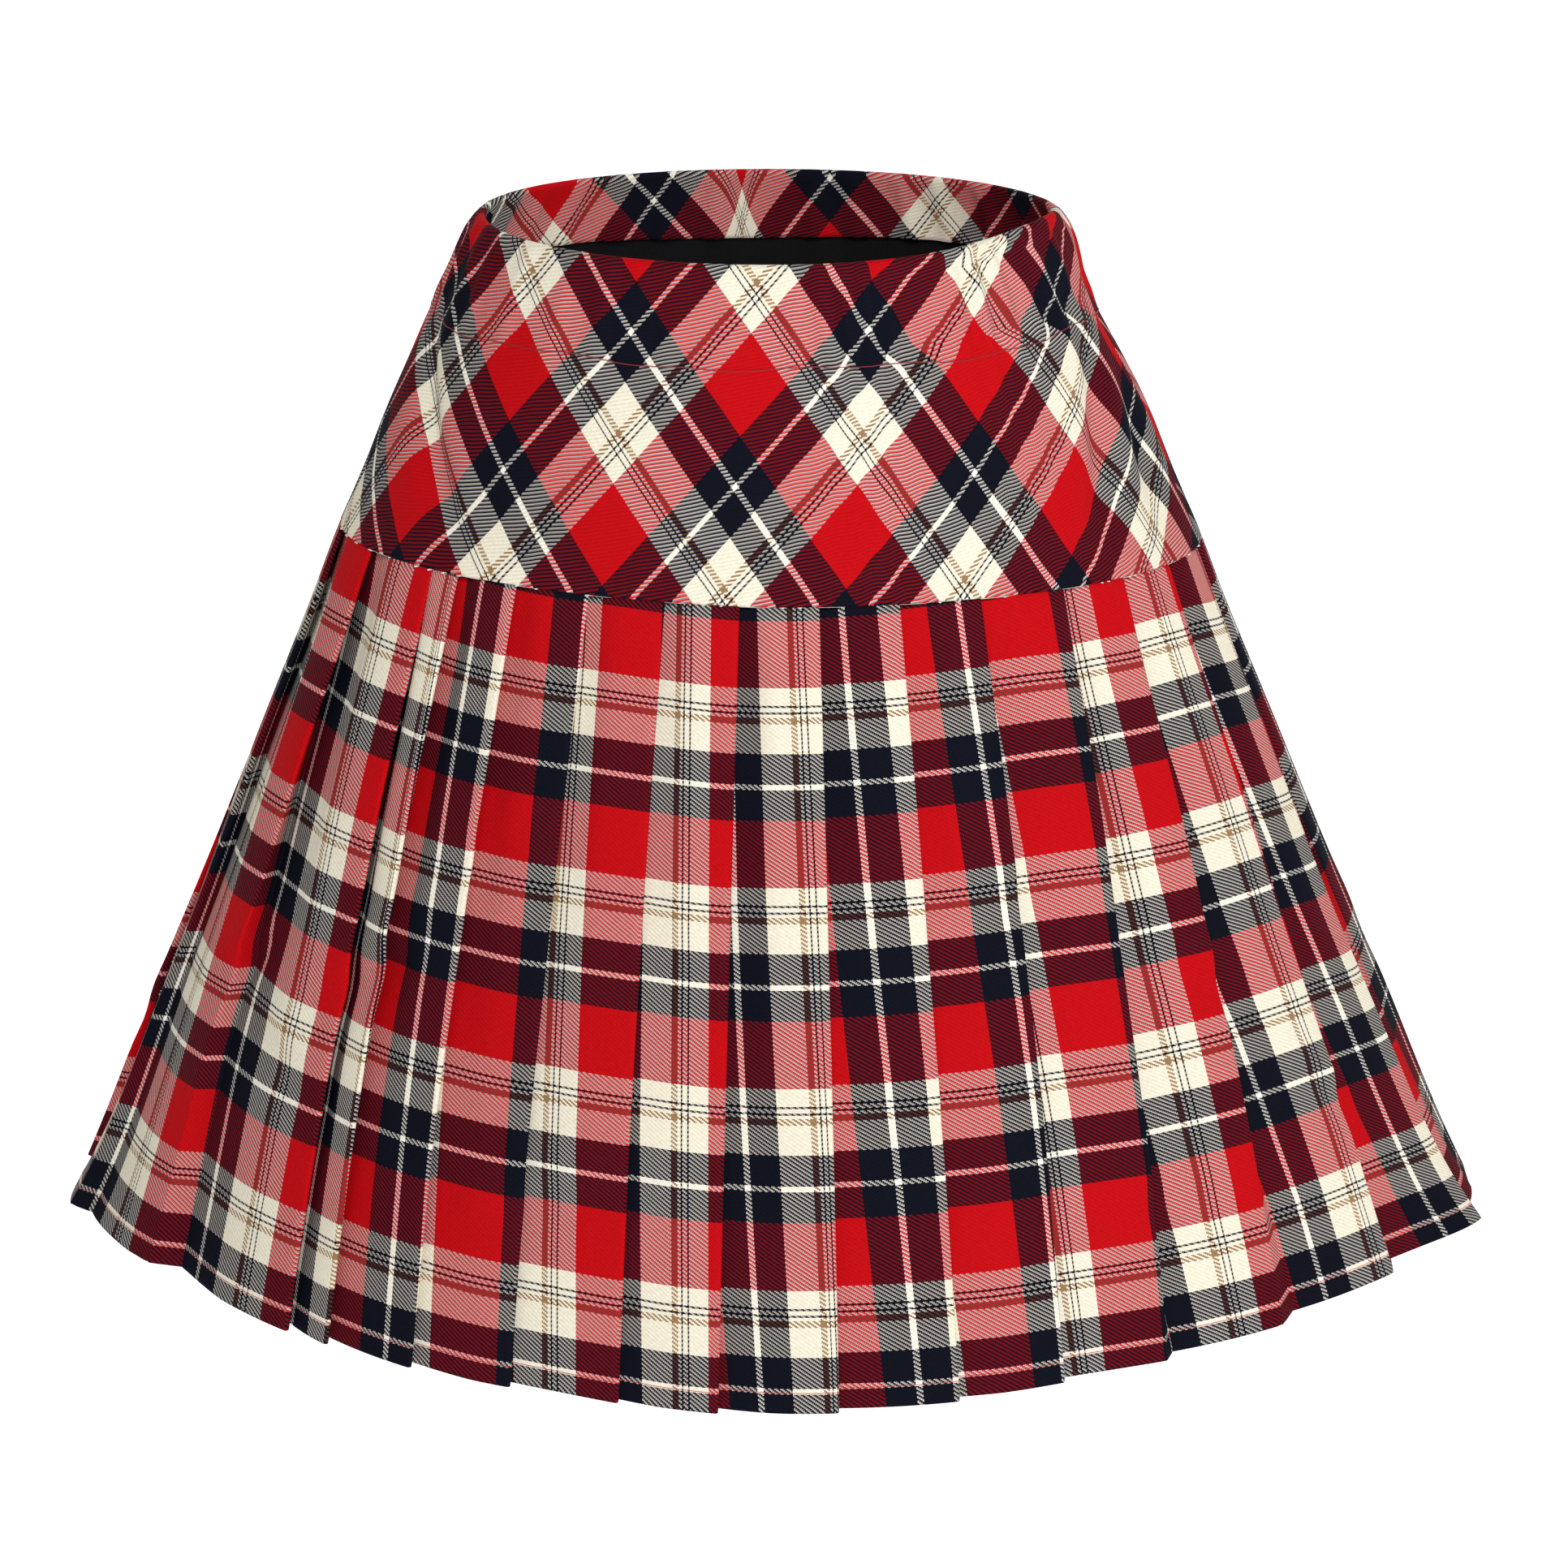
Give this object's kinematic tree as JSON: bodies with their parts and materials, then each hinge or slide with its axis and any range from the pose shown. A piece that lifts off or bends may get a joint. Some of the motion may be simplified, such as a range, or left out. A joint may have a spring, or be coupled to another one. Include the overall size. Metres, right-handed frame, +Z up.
{
  "type": "pleated mini skirt",
  "caption": "Pleated mini skirt in its worn shape: plaid yoke with an elastic waist casing, short dark lining and knife pleats that flare to the hem.",
  "frame": {"origin": "middle of the waist opening at the level of its top edge", "axes": "+Z up out of the waist, -Y towards the front, +X towards the right as seen from the front"},
  "size_m": [0.5687, 0.4353, 0.4197],
  "materials": {
    "plaid_cloth": "matte brushed twill",
    "lining_cloth": "matte",
    "elastic": "matte ribbed"
  },
  "bodies": {
    "root": {"yoke_front": "plaid_cloth", "yoke_back": "plaid_cloth", "pleats_front": "plaid_cloth", "pleats_back": "plaid_cloth", "waist_elastic": "elastic", "lining": "lining_cloth"}
  },
  "joints": []
}
